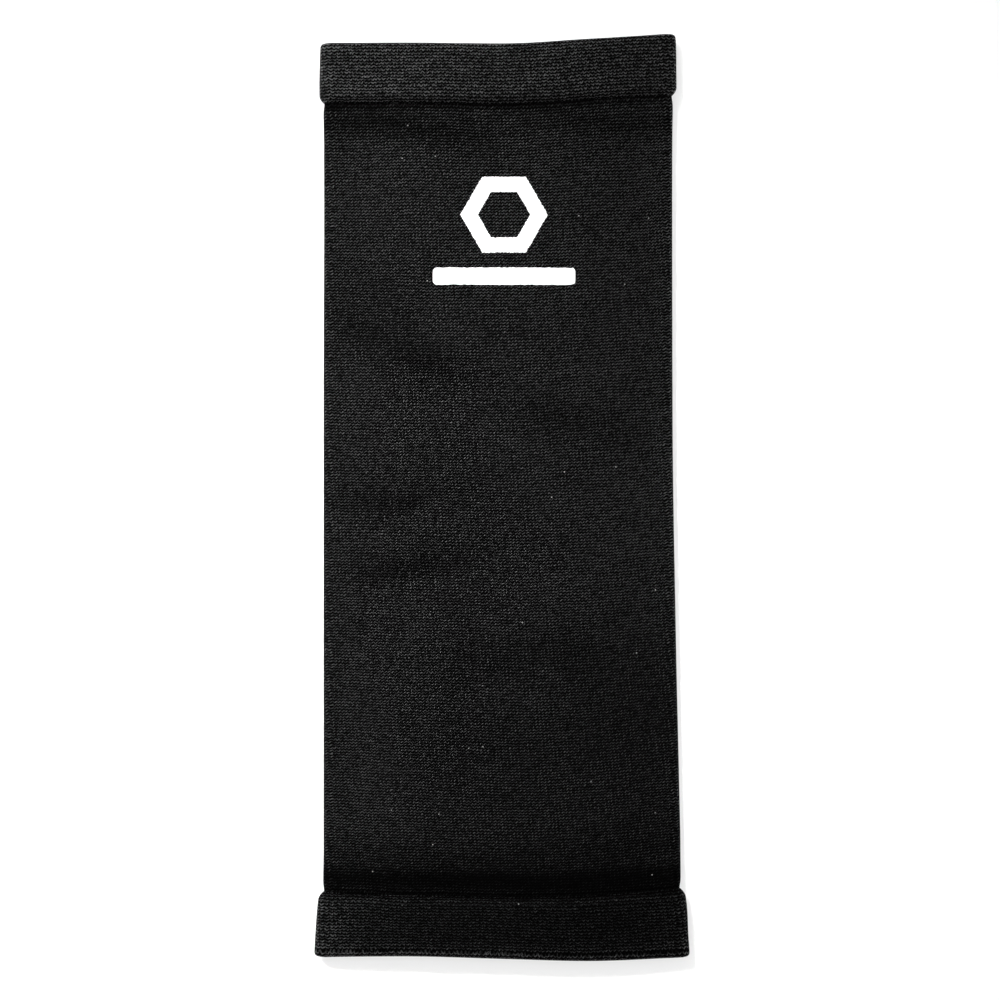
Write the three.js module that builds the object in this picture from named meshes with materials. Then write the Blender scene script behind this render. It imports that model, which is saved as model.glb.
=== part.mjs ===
// A knitted shin sleeve lying flat: a stretch-knit leg tube whose two ends are tucked into
// doubled cuffs, with a plain white hexagon and bar printed on the front.
// Millimetres. X runs across the sleeve, Y along the leg towards the top cuff and Z up from
// the surface it lies on. The origin is on that surface, under the middle of the sleeve.

import * as THREE from 'three';
import { LoftGeometry } from 'three/addons/geometries/LoftGeometry.js';

// Driving sizes of the sleeve
const LENGTH = 269;
const WIDTH = 105;
const LYING_HEIGHT = 12;
const KNIT_WALL = 1.3;
const SIDE_FOLD_RADIUS = 2.9;

// Driving sizes of the cuffs
const TOP_CUFF_DEPTH = 17.7;
const BOTTOM_CUFF_DEPTH = 18.5;
const CUFF_WALL = 2.9;
const CUFF_SWELL = 1.1;
const CUFF_LIP = 0.4;
const SHOULDER_LENGTH = 3;
const TUCK_DEPTH = 3;
const POCKET_LINING = 0.7;

// Driving sizes of the print
const HEXAGON_WIDTH = 25.4;
const HEXAGON_STROKE = 4.4;
const BAR_LENGTH = 41.5;
const BAR_WIDTH = 5;
const BAR_CORNER_RADIUS = 1.2;
const PRINT_FILM = 0.3;
const PRINT_GAP = 4.4;
const PRINT_BELOW_CUFF = 23.8;
const PRINT_ASIDE = 0.6;

// The gap that pieces keep where they touch
const CLEARANCE = 0.3;

// Steps of each stretch of a ring, counted round the leg, and of the walls along it
const FLOOR_STEPS = 4;
const SIDE_STEPS = 6;
const FRONT_STEPS = 24;
const TUBE_STEPS = 50;
const SHOULDER_STEPS = 2;
const MOUTH_STEPS = 6;

// Steps of the prints
const HEXAGON_SIDES = 6;
const HEXAGON_SIDE_STEPS = 3;
const BAR_STEPS = 8;
const BAR_CORNER_STEPS = 3;

// Where the two mouths and seams lie from side to side, as shares of half the length and of
// each cuff's own depth. across is -1 at the left side and 1 at the right.
const CROSS_LINES = [
  { across: -1.0, topMouth: 0.987, bottomMouth: 1.002, topDepth: 0.99, bottomDepth: 1.02 },
  { across: -0.5, topMouth: 0.985, bottomMouth: 0.998, topDepth: 1.0, bottomDepth: 0.96 },
  { across: 0.0, topMouth: 0.983, bottomMouth: 1.003, topDepth: 1.0, bottomDepth: 0.97 },
  { across: 0.5, topMouth: 0.994, bottomMouth: 1.008, topDepth: 1.0, bottomDepth: 1.03 },
  { across: 1.0, topMouth: 1.009, bottomMouth: 1.003, topDepth: 1.01, bottomDepth: 1.08 },
];

// Sections of the knit's outer face at the two seams, the bottom one first. left and right are
// shares of half the width, height of the lying height, fold of the side fold's radius and
// lift of the cuff's swell.
const [BOTTOM_SEAM, TOP_SEAM] = [
  { left: 1.002, right: 1.0, height: 0.86, fold: 1.1, lift: 1.0 },
  { left: 1.0, right: 0.956, height: 0.865, fold: 1.1, lift: 1.0 },
];

// at runs from the bottom seam to the top one on the tube, and from seam to mouth on a cuff.
const TUBE_SECTIONS = [
  { at: 0.0, ...BOTTOM_SEAM },
  { at: 0.02, left: 1.001, right: 1.0, height: 0.895, fold: 1.08, lift: 0.7 },
  { at: 0.05, left: 1.0, right: 1.0, height: 0.955, fold: 1.0, lift: 0.0 },
  { at: 0.12, left: 1.0, right: 0.994, height: 0.995, fold: 1.0, lift: 0.0 },
  { at: 0.3, left: 1.0, right: 0.976, height: 1.0, fold: 1.0, lift: 0.0 },
  { at: 0.6, left: 1.0, right: 0.956, height: 0.985, fold: 1.0, lift: 0.0 },
  { at: 0.88, left: 0.997, right: 0.954, height: 0.98, fold: 1.0, lift: 0.0 },
  { at: 0.95, left: 0.998, right: 0.955, height: 0.935, fold: 1.0, lift: 0.0 },
  { at: 0.98, left: 0.999, right: 0.956, height: 0.89, fold: 1.08, lift: 0.7 },
  { at: 1.0, ...TOP_SEAM },
];

const TOP_CUFF_SECTIONS = [
  { at: 0.0, ...TOP_SEAM },
  { at: 0.3, left: 1.001, right: 0.955, height: 0.875, fold: 1.14, lift: 1.0 },
  { at: 0.7, left: 0.998, right: 0.954, height: 0.855, fold: 1.14, lift: 1.0 },
  { at: 1.0, left: 0.995, right: 0.95, height: 0.81, fold: 1.12, lift: 1.0 },
];

const BOTTOM_CUFF_SECTIONS = [
  { at: 0.0, ...BOTTOM_SEAM },
  { at: 0.3, left: 1.014, right: 1.015, height: 0.87, fold: 1.14, lift: 1.0 },
  { at: 0.7, left: 1.024, right: 1.022, height: 0.85, fold: 1.14, lift: 1.0 },
  { at: 1.0, left: 1.03, right: 1.03, height: 0.81, fold: 1.12, lift: 1.0 },
];

// Soft creases in the front of the tube. across and along place the middle of each, as shares
// of half the width and half the length, turn leans it in degrees from the X axis, reach and
// spread are its half length and half width as shares of the width, and depth is a share of
// the lying height. A crease with a depth below 0 is a ridge.
const CREASES = [
  { across: -0.55, along: 0.27, turn: -24, reach: 0.22, spread: 0.055, depth: 0.085 },
  { across: 0.5, along: 0.125, turn: -14, reach: 0.24, spread: 0.055, depth: 0.085 },
  { across: -0.75, along: 0.45, turn: -42, reach: 0.14, spread: 0.05, depth: 0.06 },
  { across: -0.7, along: -0.02, turn: -2, reach: 0.14, spread: 0.045, depth: 0.075 },
  { across: -0.45, along: -0.16, turn: 8, reach: 0.2, spread: 0.045, depth: 0.07 },
  { across: 0.1, along: -0.35, turn: 12, reach: 0.2, spread: 0.06, depth: 0.05 },
  { across: -0.4, along: 0.765, turn: -12, reach: 0.26, spread: 0.045, depth: 0.05 },
  { across: 0.55, along: 0.8, turn: -10, reach: 0.2, spread: 0.045, depth: 0.05 },
  { across: -0.5, along: 0.1, turn: -10, reach: 0.2, spread: 0.09, depth: -0.05 },
];

// The length over which creases fade out towards a cuff, as a share of the width
const CREASE_FADE_SHARE = 0.1;

// How much closer together the tube's rings lie near the cuffs, from 0 for even rings
const RING_CROWDING_SHARE = 0.25;

// Where the pocket's lining thins out to the inner ply, as a share of the way to the mouth
const LINING_END_SHARE = 0.15;

// A table's column at a place on its key, on a smooth curve through the rows that never
// passes the values of the two rows it runs between.
function along(table, key, column, place) {
  const last = table.length - 1;
  const secant = (i) => (table[i + 1][column] - table[i][column]) / (table[i + 1][key] - table[i][key]);
  const slope = (i) => {
    const before = secant(Math.max(i - 1, 0));
    const after = secant(Math.min(i, last - 1));
    return before * after > 0 ? (2 * before * after) / (before + after) : 0;
  };
  let i = 0;
  while (i < last - 1 && place > table[i + 1][key]) i += 1;
  const span = table[i + 1][key] - table[i][key];
  const t = THREE.MathUtils.clamp((place - table[i][key]) / span, 0, 1);
  const blend = THREE.MathUtils.lerp(table[i][column], table[i + 1][column], t * t * (3 - 2 * t));
  return blend + span * t * (1 - t) * ((1 - t) * slope(i) - t * slope(i + 1));
}

// The section of the knit's outer face at one place of a table, as real sizes.
function sectionAt(table, at) {
  const fold = SIDE_FOLD_RADIUS * along(table, 'at', 'fold', at);
  const lift = CUFF_SWELL * along(table, 'at', 'lift', at);
  return {
    left: (WIDTH / 2) * along(table, 'at', 'left', at),
    right: (WIDTH / 2) * along(table, 'at', 'right', at),
    top: LYING_HEIGHT * along(table, 'at', 'height', at),
    fold,
    lift,
  };
}

// The places of the four cross lines along Y, at a place from side to side.
function crossLines(x) {
  const across = THREE.MathUtils.clamp(x / (WIDTH / 2), -1, 1);
  const topMouth = (LENGTH / 2) * along(CROSS_LINES, 'across', 'topMouth', across);
  const bottomMouth = (-LENGTH / 2) * along(CROSS_LINES, 'across', 'bottomMouth', across);
  return {
    topMouth,
    bottomMouth,
    topSeam: topMouth - TOP_CUFF_DEPTH * along(CROSS_LINES, 'across', 'topDepth', across),
    bottomSeam: bottomMouth + BOTTOM_CUFF_DEPTH * along(CROSS_LINES, 'across', 'bottomDepth', across),
  };
}

// How far the creases sink the front at a point. They fade out at the sides and the cuffs.
function creaseDepth(x, y) {
  const across = x / (WIDTH / 2);
  const nearest = LENGTH / 2 - Math.max(TOP_CUFF_DEPTH, BOTTOM_CUFF_DEPTH) - Math.abs(y);
  const endFade = THREE.MathUtils.smoothstep(nearest, 0, CREASE_FADE_SHARE * WIDTH);
  const sideFade = Math.max(1 - across ** 4, 0);
  let depth = 0;
  for (const crease of CREASES) {
    const turn = THREE.MathUtils.degToRad(crease.turn);
    const dx = x - (crease.across * WIDTH) / 2;
    const dy = y - (crease.along * LENGTH) / 2;
    const onward = (dx * Math.cos(turn) + dy * Math.sin(turn)) / (crease.reach * WIDTH);
    const aside = (dy * Math.cos(turn) - dx * Math.sin(turn)) / (crease.spread * WIDTH);
    depth += crease.depth * LYING_HEIGHT * Math.exp(-(onward ** 4) - aside ** 2);
  }
  return depth * endFade * sideFade;
}

// The front's rise over the side folds, from 0 at a fold to 1 over the middle.
function domeShare(share) {
  return (1 - share ** 4) ** 2;
}

// One ring round the leg at a section, out from the knit's outer face by an offset.
// lengthwise gives Y for a place from side to side.
function ringAt(section, offset, lengthwise) {
  const { left, right, top, fold, lift } = section;
  const flatLeft = fold - left;
  const flatRight = right - fold;
  const radius = fold + offset;
  const outline = [];
  for (let i = 0; i < FLOOR_STEPS; i += 1) {
    outline.push([THREE.MathUtils.lerp(flatLeft, flatRight, i / FLOOR_STEPS), lift - offset]);
  }
  for (let i = 0; i < SIDE_STEPS; i += 1) {
    const angle = Math.PI * (i / SIDE_STEPS - 0.5);
    outline.push([flatRight + radius * Math.cos(angle), lift + fold + radius * Math.sin(angle)]);
  }
  for (let i = 0; i < FRONT_STEPS; i += 1) {
    const share = 1 - (2 * i) / FRONT_STEPS;
    const x = THREE.MathUtils.lerp(flatLeft, flatRight, (1 + share) / 2);
    const rise = (top - lift - 2 * fold) * domeShare(share);
    outline.push([x, lift + 2 * fold + rise + offset - creaseDepth(x, lengthwise(x))]);
  }
  for (let i = 0; i < SIDE_STEPS; i += 1) {
    const angle = Math.PI * (i / SIDE_STEPS + 0.5);
    outline.push([flatLeft + radius * Math.cos(angle), lift + fold + radius * Math.sin(angle)]);
  }
  return outline.map(([x, z]) => new THREE.Vector3(x, lengthwise(x), z));
}

// A ring on the tube, at a share of the way from the bottom seam to the top one.
function tubeRing(at, offset) {
  const lengthwise = (x) => {
    const lines = crossLines(x);
    return THREE.MathUtils.lerp(lines.bottomSeam, lines.topSeam, at);
  };
  return ringAt(sectionAt(TUBE_SECTIONS, at), offset, lengthwise);
}

// A ring on a cuff, at a depth past its seam towards its mouth.
function cuffRing(cuff, depth, offset) {
  const lengthwise = (x) => {
    const lines = crossLines(x);
    return THREE.MathUtils.lerp(lines[cuff.seam], lines[cuff.mouth], depth / cuff.depth);
  };
  return ringAt(sectionAt(cuff.sections, depth / cuff.depth), offset, lengthwise);
}

// A closed wall lofted through rings, back to the first one. The rings of its outer face run
// down the leg, and those of its inner face up it.
function wallThrough(rings) {
  return new LoftGeometry([...rings, rings[0]]);
}

const topCuff = {
  sections: TOP_CUFF_SECTIONS,
  seam: 'topSeam',
  mouth: 'topMouth',
  depth: TOP_CUFF_DEPTH,
  opensUp: true,
};
const bottomCuff = {
  sections: BOTTOM_CUFF_SECTIONS,
  seam: 'bottomSeam',
  mouth: 'bottomMouth',
  depth: BOTTOM_CUFF_DEPTH,
  opensUp: false,
};

// Places along the tube, closer together near the seams, where it dips under the cuffs.
function tubePlaces() {
  const places = [];
  for (let i = 0; i <= TUBE_STEPS; i += 1) {
    const turn = (2 * Math.PI * i) / TUBE_STEPS;
    places.push((turn - RING_CROWDING_SHARE * Math.sin(turn)) / (2 * Math.PI));
  }
  return places;
}

// The leg tube: its inner face from the bottom tuck to the top one, and its outer face back.
function legTubeGeometry() {
  const places = tubePlaces();
  const face = (offset) => [
    cuffRing(bottomCuff, TUCK_DEPTH, offset),
    ...places.map((at) => tubeRing(at, offset)),
    cuffRing(topCuff, TUCK_DEPTH, offset),
  ];
  return wallThrough([...face(-KNIT_WALL), ...face(0).reverse()]);
}

// A doubled cuff: swelling shoulder, outer ply, rounded mouth, inner ply and the pocket that
// holds the tube's end. Each row is a depth past the seam and an offset from the knit's outer
// face.
function cuffProfile(depth) {
  const outer = CUFF_SWELL;
  const inner = CUFF_SWELL - CUFF_WALL;
  const pocketFloor = -KNIT_WALL - CLEARANCE;
  const pocketEnd = TUCK_DEPTH + CLEARANCE;
  const lining = Math.min(pocketFloor - POCKET_LINING, inner);
  const mouthRadius = CUFF_WALL / 2;
  const straightEnd = depth - mouthRadius;
  const profile = [[0, CLEARANCE]];
  for (let i = 0; i <= SHOULDER_STEPS; i += 1) {
    const angle = (Math.PI / 2) * (i / SHOULDER_STEPS);
    profile.push([
      SHOULDER_LENGTH * (1 - Math.cos(angle)),
      THREE.MathUtils.lerp(CLEARANCE + CUFF_LIP, outer, Math.sin(angle)),
    ]);
  }
  profile.push([THREE.MathUtils.lerp(SHOULDER_LENGTH, straightEnd, 0.5), outer]);
  for (let i = 0; i <= MOUTH_STEPS; i += 1) {
    const angle = (Math.PI * i) / MOUTH_STEPS;
    profile.push([
      straightEnd + mouthRadius * Math.sin(angle),
      (outer + inner) / 2 + mouthRadius * Math.cos(angle),
    ]);
  }
  profile.push(
    [THREE.MathUtils.lerp(pocketEnd, straightEnd, 0.5), inner],
    [THREE.MathUtils.lerp(pocketEnd, straightEnd, LINING_END_SHARE), lining],
    [0, lining],
    [0, pocketFloor],
    [pocketEnd, pocketFloor],
    [pocketEnd, CLEARANCE],
  );
  return profile;
}

function cuffGeometry(cuff) {
  const rings = cuffProfile(cuff.depth).map(([depth, offset]) => cuffRing(cuff, depth, offset));
  return wallThrough(cuff.opensUp ? rings.reverse() : rings);
}

// The height of the tube's front at a point, where a print lies on it.
function frontHeight(x, y) {
  const lines = crossLines(x);
  const at = (y - lines.bottomSeam) / (lines.topSeam - lines.bottomSeam);
  const { left, right, top, fold, lift } = sectionAt(TUBE_SECTIONS, at);
  const share = THREE.MathUtils.mapLinear(x, fold - left, right - fold, -1, 1);
  return lift + 2 * fold + (top - lift - 2 * fold) * domeShare(share) - creaseDepth(x, y);
}

// One corner of a printed film: a point on its outline, on its under face or its upper one.
function filmPoint(x, y, upper) {
  return new THREE.Vector3(x, y, frontHeight(x, y) + CLEARANCE + (upper ? PRINT_FILM : 0));
}

// A film section between two points of an outline, ordered round the loft.
function filmSection([x0, y0], [x1, y1]) {
  return [
    filmPoint(x0, y0, false),
    filmPoint(x0, y0, true),
    filmPoint(x1, y1, true),
    filmPoint(x1, y1, false),
  ];
}

const hexagonRadius = HEXAGON_WIDTH / 2;
const cornerSlant = Math.cos(Math.PI / HEXAGON_SIDES);
const hexagonTop = LENGTH / 2 - TOP_CUFF_DEPTH - PRINT_BELOW_CUFF;
const hexagonMiddle = hexagonTop - hexagonRadius * cornerSlant;
const barMiddle = hexagonMiddle - hexagonRadius * cornerSlant - PRINT_GAP - BAR_WIDTH / 2;

// A point on a hexagon that lies on a side, at a share of the way round it.
function hexagonPoint(radius, share) {
  const side = Math.floor(share * HEXAGON_SIDES);
  const corner = (i) => {
    const angle = (2 * Math.PI * i) / HEXAGON_SIDES;
    return new THREE.Vector2(radius * Math.cos(angle), radius * Math.sin(angle));
  };
  const point = corner(side).lerp(corner(side + 1), share * HEXAGON_SIDES - side);
  return [PRINT_ASIDE + point.x, hexagonMiddle + point.y];
}

function hexagonGeometry() {
  const innerRadius = hexagonRadius - HEXAGON_STROKE / cornerSlant;
  const steps = HEXAGON_SIDES * HEXAGON_SIDE_STEPS;
  const sections = [];
  for (let i = 0; i < steps; i += 1) {
    sections.push(filmSection(hexagonPoint(innerRadius, i / steps), hexagonPoint(hexagonRadius, i / steps)));
  }
  return wallThrough(sections);
}

// A column of the bar at one of its round ends, at an angle from where its long edge starts.
function barEndColumn(side, angle) {
  const straight = BAR_LENGTH / 2 - BAR_CORNER_RADIUS;
  return {
    place: side * (straight + BAR_CORNER_RADIUS * Math.sin(angle)),
    halfWidth: BAR_WIDTH / 2 - BAR_CORNER_RADIUS * (1 - Math.cos(angle)),
  };
}

function barGeometry() {
  const straight = BAR_LENGTH / 2 - BAR_CORNER_RADIUS;
  const columns = [];
  for (let i = BAR_CORNER_STEPS; i >= 0; i -= 1) {
    columns.push(barEndColumn(-1, (Math.PI / 2) * (i / BAR_CORNER_STEPS)));
  }
  for (let i = 1; i < BAR_STEPS; i += 1) {
    const place = THREE.MathUtils.lerp(-straight, straight, i / BAR_STEPS);
    columns.push({ place, halfWidth: BAR_WIDTH / 2 });
  }
  for (let i = 0; i <= BAR_CORNER_STEPS; i += 1) {
    columns.push(barEndColumn(1, (Math.PI / 2) * (i / BAR_CORNER_STEPS)));
  }
  const sections = columns.map(({ place, halfWidth }) => {
    const x = PRINT_ASIDE + place;
    return filmSection([x, barMiddle + halfWidth], [x, barMiddle - halfWidth]);
  });
  return new LoftGeometry(sections, { capStart: true, capEnd: true });
}

// Finishes
const knit = new THREE.MeshStandardMaterial({ color: 0x141416, roughness: 0.92, metalness: 0 });
const cuffKnit = new THREE.MeshStandardMaterial({ color: 0x17171a, roughness: 0.9, metalness: 0 });
const film = new THREE.MeshStandardMaterial({ color: 0xf4f4f2, roughness: 0.5, metalness: 0 });

function named(name, geometry, material) {
  const mesh = new THREE.Mesh(geometry, material);
  mesh.name = name;
  return mesh;
}

const sleeve = new THREE.Group();
sleeve.add(
  named('leg_tube', legTubeGeometry(), knit),
  named('top_cuff', cuffGeometry(topCuff), cuffKnit),
  named('bottom_cuff', cuffGeometry(bottomCuff), cuffKnit),
  named('print_hexagon', hexagonGeometry(), film),
  named('print_bar', barGeometry(), film),
);

export default sleeve;
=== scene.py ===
import math

import bpy
import numpy as np
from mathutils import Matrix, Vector


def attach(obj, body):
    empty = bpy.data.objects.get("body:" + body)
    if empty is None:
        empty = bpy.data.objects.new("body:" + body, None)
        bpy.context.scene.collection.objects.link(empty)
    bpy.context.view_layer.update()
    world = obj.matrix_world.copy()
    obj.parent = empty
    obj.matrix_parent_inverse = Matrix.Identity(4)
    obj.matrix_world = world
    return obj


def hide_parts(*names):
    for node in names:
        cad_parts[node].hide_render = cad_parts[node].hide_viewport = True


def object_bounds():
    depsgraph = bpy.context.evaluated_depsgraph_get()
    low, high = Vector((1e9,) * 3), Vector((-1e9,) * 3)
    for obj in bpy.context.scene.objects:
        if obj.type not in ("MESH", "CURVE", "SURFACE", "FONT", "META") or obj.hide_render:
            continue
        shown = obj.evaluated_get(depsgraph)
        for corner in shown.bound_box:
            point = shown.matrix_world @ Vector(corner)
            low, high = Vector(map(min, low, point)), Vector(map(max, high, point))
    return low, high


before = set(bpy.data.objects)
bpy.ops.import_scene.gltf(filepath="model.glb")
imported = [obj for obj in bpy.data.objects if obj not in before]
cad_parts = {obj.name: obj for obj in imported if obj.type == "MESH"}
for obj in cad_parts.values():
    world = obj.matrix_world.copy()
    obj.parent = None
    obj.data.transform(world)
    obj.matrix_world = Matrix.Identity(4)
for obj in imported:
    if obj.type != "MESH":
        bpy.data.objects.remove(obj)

cad_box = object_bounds()

# Sizes of the sleeve, in metres
MM = 0.001
LENGTH = 269 * MM
WIDTH = 105 * MM
LYING_HEIGHT = 12 * MM
KNIT_WALL = 1.3 * MM
SIDE_FOLD_RADIUS = 2.9 * MM

# Sizes of the cuffs
TOP_CUFF_DEPTH = 17.7 * MM
BOTTOM_CUFF_DEPTH = 18.5 * MM
CUFF_WALL = 2.9 * MM
CUFF_SWELL = 1.1 * MM
CUFF_LIP_POWER = 3
SHOULDER_LENGTH = 2.4 * MM
SEAM_DIP = 0.35 * MM
SEAM_DIP_LENGTH = 1.6 * MM
TUCK_DEPTH = 1.6 * MM
PLY_GAP = 0.3 * MM
TOUCH_GAP = 0.02 * MM

# Sizes of the print: a hexagonal ring over a bar
HEXAGON_WIDTH = 25.4 * MM
HEXAGON_STROKE = 4.4 * MM
HEXAGON_MIDDLE = (0.6 * MM, 82.0 * MM)
BAR_LENGTH = 41.5 * MM
BAR_WIDTH = 5 * MM
BAR_CORNER_RADIUS = 1.2 * MM
BAR_MIDDLE = (0.6 * MM, 64.1 * MM)
FILM = 0.1 * MM
FILM_LIFT = 0.05 * MM
FILM_EDGE_WOBBLE = 0.07 * MM
FILM_EDGE_POWER = 7
WOBBLE_SEED = 7
WOBBLE_SMOOTHING = 1.4

# The knit: columns of stitches round the leg, the height of a course, how much higher the
# tube's courses are at its top than at its bottom, and how many columns the stitches lean
# over for each course
TUBE_WALES = 198
TOP_CUFF_WALES = 194
BOTTOM_CUFF_WALES = 190
TUBE_COURSE = 0.865 * MM
TOP_CUFF_COURSE = 0.95 * MM
BOTTOM_CUFF_COURSE = 0.885 * MM
COURSE_GROWTH = 0.085
LEAN = 0.0616

# Where the two mouths and seams lie from side to side, as shares of half the length and of
# each cuff's own depth
CROSS_LINES = [
    dict(across=-1.0, top_mouth=0.987, bottom_mouth=1.002, top_depth=0.99, bottom_depth=1.02),
    dict(across=-0.5, top_mouth=0.985, bottom_mouth=0.998, top_depth=1.0, bottom_depth=0.96),
    dict(across=0.0, top_mouth=0.983, bottom_mouth=1.003, top_depth=1.0, bottom_depth=0.97),
    dict(across=0.5, top_mouth=0.994, bottom_mouth=1.008, top_depth=1.0, bottom_depth=1.03),
    dict(across=1.0, top_mouth=1.009, bottom_mouth=1.003, top_depth=1.01, bottom_depth=1.08),
]

# Sections of the knit's outer face at the two seams, the bottom one first. left and right are
# shares of half the width, height of the lying height, fold of the side fold's radius and
# lift of the cuff's swell.
BOTTOM_SEAM, TOP_SEAM = [
    dict(left=1.002, right=1.0, height=0.86, fold=1.1, lift=1.0),
    dict(left=1.0, right=0.956, height=0.865, fold=1.1, lift=1.0),
]
TUBE_SECTIONS = [
    dict(at=0.0, **BOTTOM_SEAM),
    dict(at=0.02, left=1.001, right=1.0, height=0.895, fold=1.08, lift=0.7),
    dict(at=0.05, left=1.0, right=1.0, height=0.955, fold=1.0, lift=0.0),
    dict(at=0.12, left=1.0, right=0.994, height=0.995, fold=1.0, lift=0.0),
    dict(at=0.3, left=1.0, right=0.976, height=1.0, fold=1.0, lift=0.0),
    dict(at=0.6, left=1.0, right=0.956, height=0.985, fold=1.0, lift=0.0),
    dict(at=0.88, left=0.997, right=0.954, height=0.98, fold=1.0, lift=0.0),
    dict(at=0.95, left=0.998, right=0.955, height=0.935, fold=1.0, lift=0.0),
    dict(at=0.98, left=0.999, right=0.956, height=0.89, fold=1.08, lift=0.7),
    dict(at=1.0, **TOP_SEAM),
]
TOP_CUFF_SECTIONS = [
    dict(at=0.0, **TOP_SEAM),
    dict(at=0.3, left=1.001, right=0.955, height=0.875, fold=1.14, lift=1.0),
    dict(at=0.7, left=0.998, right=0.954, height=0.855, fold=1.14, lift=1.0),
    dict(at=1.0, left=0.995, right=0.95, height=0.81, fold=1.12, lift=1.0),
]
BOTTOM_CUFF_SECTIONS = [
    dict(at=0.0, **BOTTOM_SEAM),
    dict(at=0.3, left=1.014, right=1.015, height=0.87, fold=1.14, lift=1.0),
    dict(at=0.7, left=1.024, right=1.022, height=0.85, fold=1.14, lift=1.0),
    dict(at=1.0, left=1.03, right=1.03, height=0.81, fold=1.12, lift=1.0),
]

# Soft creases in the front of the tube. across and along place the middle of each, as shares
# of half the width and half the length, turn leans it in degrees, reach and spread are its
# half length and half width as shares of the width, and depth is a share of the lying height.
CREASES = [
    dict(across=-0.55, along=0.305, turn=-22, reach=0.22, spread=0.055, depth=0.085),
    dict(across=0.5, along=0.155, turn=-14, reach=0.24, spread=0.06, depth=0.075),
    dict(across=-0.75, along=0.45, turn=-42, reach=0.14, spread=0.05, depth=0.06),
    dict(across=-0.7, along=-0.02, turn=-2, reach=0.14, spread=0.045, depth=0.075),
    dict(across=-0.45, along=-0.16, turn=8, reach=0.2, spread=0.045, depth=0.07),
    dict(across=0.1, along=-0.35, turn=12, reach=0.2, spread=0.06, depth=0.05),
    dict(across=-0.5, along=0.79, turn=-11, reach=0.28, spread=0.045, depth=0.05),
    dict(across=0.65, along=0.805, turn=-9, reach=0.2, spread=0.04, depth=0.06),
    dict(across=-0.5, along=0.1, turn=-10, reach=0.2, spread=0.09, depth=-0.05),
]

# The length over which creases fade out towards a cuff, as a share of the width
CREASE_FADE_SHARE = 0.1

# The crease depth at which a crease gets its full painted shade, as a share of the lying height
DEEPEST_CREASE = 0.1

# Places of painted shade in the front of the tube, laid out as the creases are: darker streaks and darker
# parts where the light falls off. depth is how dark each is, and below 0 it is painted light instead.
SHADED_PLACES = [
    dict(across=-0.65, along=0.815, turn=-10, reach=0.2, spread=0.04, depth=0.3),
    dict(across=0.55, along=0.825, turn=-9, reach=0.18, spread=0.035, depth=0.15),
    dict(across=1.0, along=0.45, turn=90, reach=0.75, spread=0.25, depth=-0.45),
    dict(across=0.2, along=0.35, turn=-8, reach=0.17, spread=0.055, depth=0.35),
    dict(across=-0.95, along=0.4, turn=-35, reach=0.12, spread=0.05, depth=0.35),
    dict(across=-0.72, along=-0.01, turn=-3, reach=0.12, spread=0.03, depth=0.35),
    dict(across=-0.62, along=-0.162, turn=6, reach=0.12, spread=0.03, depth=0.3),
    dict(across=0.43, along=-0.355, turn=60, reach=0.07, spread=0.06, depth=0.35),
    dict(across=-0.5, along=-0.81, turn=0, reach=0.36, spread=0.055, depth=0.5),
    dict(across=0.3, along=-0.5, turn=25, reach=0.42, spread=0.2, depth=0.4),
    dict(across=0.95, along=-0.66, turn=30, reach=0.5, spread=0.36, depth=0.52),
]

# The most painted shade a place in the front of the tube can get
DARKEST_PAINTED_SHADE = 1.65

# Painted shade in bands on the tube beside the seams: how far from the seam each band lies, how wide and
# how dark it is
BOTTOM_SHADES = [
    dict(place=0.0 * MM, width=2.4 * MM, depth=1.55),
    dict(place=4.1 * MM, width=4.2 * MM, depth=1.35),
    dict(place=11.0 * MM, width=8.0 * MM, depth=0.4),
]
TOP_SHADES = [
    dict(place=0.3 * MM, width=2.0 * MM, depth=1.5),
    dict(place=5.0 * MM, width=6.0 * MM, depth=0.4),
]

# Painted shade and light on the cuffs: how much painted shade darkens the middle of each cuff and its edge
# at the seam, how much a painted highlight lightens its lip and how much lighter its ends are, and how
# much more painted shade it gets towards the right
TOP_CUFF_SHADE = 0.0
TOP_CUFF_SEAM_SHADE = 0.0
BOTTOM_CUFF_SHADE = 1.25
BOTTOM_CUFF_SEAM_SHADE = 1.5
LIP_PAINTED_HIGHLIGHT = 0.65
LIP_HIGHLIGHT_MIDDLE = 0.65
LIP_HIGHLIGHT_TILT = 0.35
LEFT_END_PAINTED_LIGHT = 0.8
RIGHT_END_PAINTED_LIGHT = 0.4
CUFF_SHADE_TILT = 0.2

# The longer stitches at the seams and the mouths
END_STITCH_STRETCH = 0.5
END_STITCH_REACH = 1.1 * MM


# Form of the sleeve

def smooth_column(table, key, column, places):
    """A table's column on a smooth curve through its rows that never passes their values."""
    keys = np.array([row[key] for row in table])
    values = np.array([row[column] for row in table])
    secants = np.diff(values) / np.diff(keys)
    before = np.r_[secants[0], secants]
    after = np.r_[secants, secants[-1]]
    same_way = before * after > 0
    slopes = np.where(same_way, 2 * before * after / np.where(same_way, before + after, 1), 0)
    i = np.clip(np.searchsorted(keys, places) - 1, 0, len(keys) - 2)
    span = keys[i + 1] - keys[i]
    t = np.clip((places - keys[i]) / span, 0, 1)
    blend = values[i] + (values[i + 1] - values[i]) * t * t * (3 - 2 * t)
    return blend + span * t * (1 - t) * ((1 - t) * slopes[i] - t * slopes[i + 1])


def section_at(table, at):
    """The section of the knit's outer face at places of a table, as real sizes."""
    return dict(
        left=WIDTH / 2 * smooth_column(table, "at", "left", at),
        right=WIDTH / 2 * smooth_column(table, "at", "right", at),
        top=LYING_HEIGHT * smooth_column(table, "at", "height", at),
        fold=SIDE_FOLD_RADIUS * smooth_column(table, "at", "fold", at),
        lift=CUFF_SWELL * smooth_column(table, "at", "lift", at),
    )


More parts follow.
